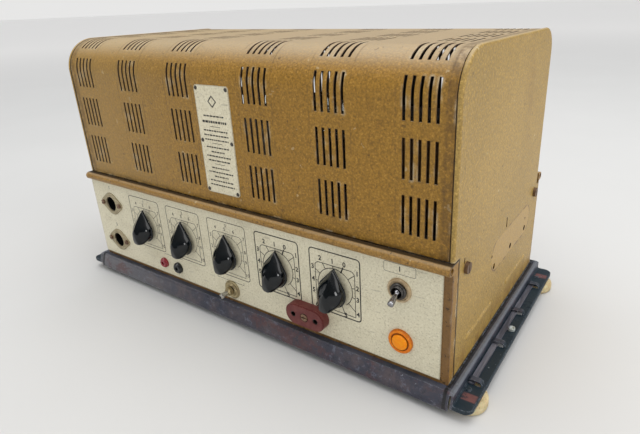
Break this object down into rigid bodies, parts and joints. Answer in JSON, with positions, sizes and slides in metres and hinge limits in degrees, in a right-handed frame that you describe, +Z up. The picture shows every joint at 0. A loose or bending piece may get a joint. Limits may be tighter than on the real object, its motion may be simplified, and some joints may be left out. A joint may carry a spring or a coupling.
{
  "type": "valve public-address amplifier",
  "caption": "Valve public-address amplifier: perforated lift-off hood over a front frame of pointer knobs, sockets, switch and lamp, on a wide pressed tray with feet.",
  "frame": {"origin": "floor level, under the middle of the whole object's bounding box", "axes": "+X to the right along the control front, +Y from the front to the rear, +Z up"},
  "size_m": [0.472, 0.2453, 0.2553],
  "materials": {
    "slate_enamel": "worn semi-gloss enamel",
    "yellowed_rubber": "aged matte",
    "steel": "dull",
    "plated_chassis": "plated, dull",
    "ochre_wrinkle_paint": "fine wrinkle finish, worn at the edges",
    "cream_plate": "printed matte cream",
    "pale_plate": "dull printed",
    "black_pins": "blackened",
    "black_knob": "polished moulding",
    "shaft_steel": "plated",
    "pot_card": "phenolic board",
    "aged_washer": "tarnished",
    "amber_lens": "moulded lens",
    "lamp_glass": "clear",
    "brass": "tarnished",
    "black_moulding": "moulded",
    "red_moulding": "moulded",
    "maroon_moulding": "moulded phenolic",
    "iron_core": "varnished plates",
    "aluminium_can": "dull",
    "valve_glass": "clear"
  },
  "bodies": {
    "cabinet": {"base_tray": "slate_enamel", "feet": "yellowed_rubber", "foot_rivets": "slate_enamel", "chassis": "plated_chassis", "front_frame": "ochre_wrinkle_paint", "scale_plate": "cream_plate", "rear_frame": "ochre_wrinkle_paint", "potentiometer_bodies": "pot_card", "potentiometer_nuts": "shaft_steel", "switch_body": "pot_card", "switch_nut": "shaft_steel", "switch_washer": "aged_washer", "lamp_lens": "amber_lens", "lamp_bulb": "lamp_glass", "lamp_holder": "brass", "microphone_sockets": "aged_washer", "microphone_inserts": "black_moulding", "connector_screws": "shaft_steel", "red_tip_socket": "red_moulding", "black_tip_socket": "black_moulding", "earth_post": "steel", "earth_washer": "brass", "output_socket": "maroon_moulding", "output_socket_contacts": "brass", "mains_inlet": "black_moulding", "mains_inlet_pins": "brass", "fuse_holder": "black_moulding", "voltage_selector_base": "pot_card", "speaker_terminal_strip": "pot_card", "mains_transformer": "iron_core", "output_transformer": "iron_core", "smoothing_choke": "iron_core", "filter_capacitors": "aluminium_can", "power_valves": "valve_glass", "preamp_valves": "valve_glass", "rectifier_valves": "valve_glass", "valve_sockets": "pot_card"},
    "hood": {"hood_wrapper": "ochre_wrinkle_paint", "end_cap_left": "ochre_wrinkle_paint", "end_cap_right": "ochre_wrinkle_paint", "data_plate": "pale_plate", "data_plate_pins": "black_pins", "hood_screws": "black_pins"},
    "volume_1_control": {"volume_knob_1": "black_knob", "volume_shaft_1": "shaft_steel"},
    "volume_2_control": {"volume_knob_2": "black_knob", "volume_shaft_2": "shaft_steel"},
    "volume_3_control": {"volume_knob_3": "black_knob", "volume_shaft_3": "shaft_steel"},
    "bass_control": {"bass_knob": "black_knob", "bass_shaft": "shaft_steel"},
    "treble_control": {"treble_knob": "black_knob", "treble_shaft": "shaft_steel"},
    "switch_toggle": {"switch_lever": "steel"},
    "earth_nut": {"earth_thumb_nut": "brass"},
    "fuse_carrier": {"fuse_cartridge": "valve_glass"},
    "fuse_cap_body": {"fuse_cap": "black_moulding"},
    "voltage_selector": {"voltage_selector_dial": "black_moulding"},
    "latch_left": {"latch_bar_left": "slate_enamel"},
    "latch_right": {"latch_bar_right": "slate_enamel"}
  },
  "joints": [
    {"name": "hood_lift", "type": "slide", "parent": "cabinet", "child": "hood", "axis": [0, 0, 1], "range_m": [0, 0.2]},
    {"name": "volume_1_turn", "type": "hinge", "parent": "cabinet", "child": "volume_1_control", "pos_m": [-0.122, -0.105, 0.0735], "axis": [0, 1, 0], "range_deg": [-148, 140]},
    {"name": "volume_2_turn", "type": "hinge", "parent": "cabinet", "child": "volume_2_control", "pos_m": [-0.063, -0.105, 0.0735], "axis": [0, 1, 0], "range_deg": [-148, 140]},
    {"name": "volume_3_turn", "type": "hinge", "parent": "cabinet", "child": "volume_3_control", "pos_m": [-0.004, -0.105, 0.0735], "axis": [0, 1, 0], "range_deg": [-148, 140]},
    {"name": "bass_turn", "type": "hinge", "parent": "cabinet", "child": "bass_control", "pos_m": [0.055, -0.105, 0.0735], "axis": [0, 1, 0], "range_deg": [-148, 140]},
    {"name": "treble_turn", "type": "hinge", "parent": "cabinet", "child": "treble_control", "pos_m": [0.114, -0.105, 0.0735], "axis": [0, 1, 0], "range_deg": [-148, 140]},
    {"name": "switch_throw", "type": "hinge", "parent": "cabinet", "child": "switch_toggle", "pos_m": [0.171, -0.1075, 0.089], "axis": [1, 0, 0], "range_deg": [-46, 0]},
    {"name": "earth_nut_turn", "type": "hinge", "parent": "cabinet", "child": "earth_nut", "pos_m": [-0.005, -0.108, 0.0345], "axis": [0, -1, 0], "continuous": true},
    {"name": "fuse_pull", "type": "slide", "parent": "cabinet", "child": "fuse_carrier", "axis": [0, 1, 0], "range_m": [0, 0.03]},
    {"name": "fuse_cap_turn", "type": "hinge", "parent": "fuse_carrier", "child": "fuse_cap_body", "pos_m": [0.104, 0.1139, 0.0645], "axis": [0, 1, 0], "range_deg": [0, 60]},
    {"name": "latch_left_slide", "type": "slide", "parent": "cabinet", "child": "latch_left", "axis": [0, 1, 0], "range_m": [0, 0.005]},
    {"name": "latch_right_slide", "type": "slide", "parent": "cabinet", "child": "latch_right", "axis": [0, 1, 0], "range_m": [0, 0.005]},
    {"name": "voltage_select", "type": "hinge", "parent": "cabinet", "child": "voltage_selector", "pos_m": [0.052, 0.1133, 0.0665], "axis": [0, 1, 0], "range_deg": [0, 150]}
  ]
}
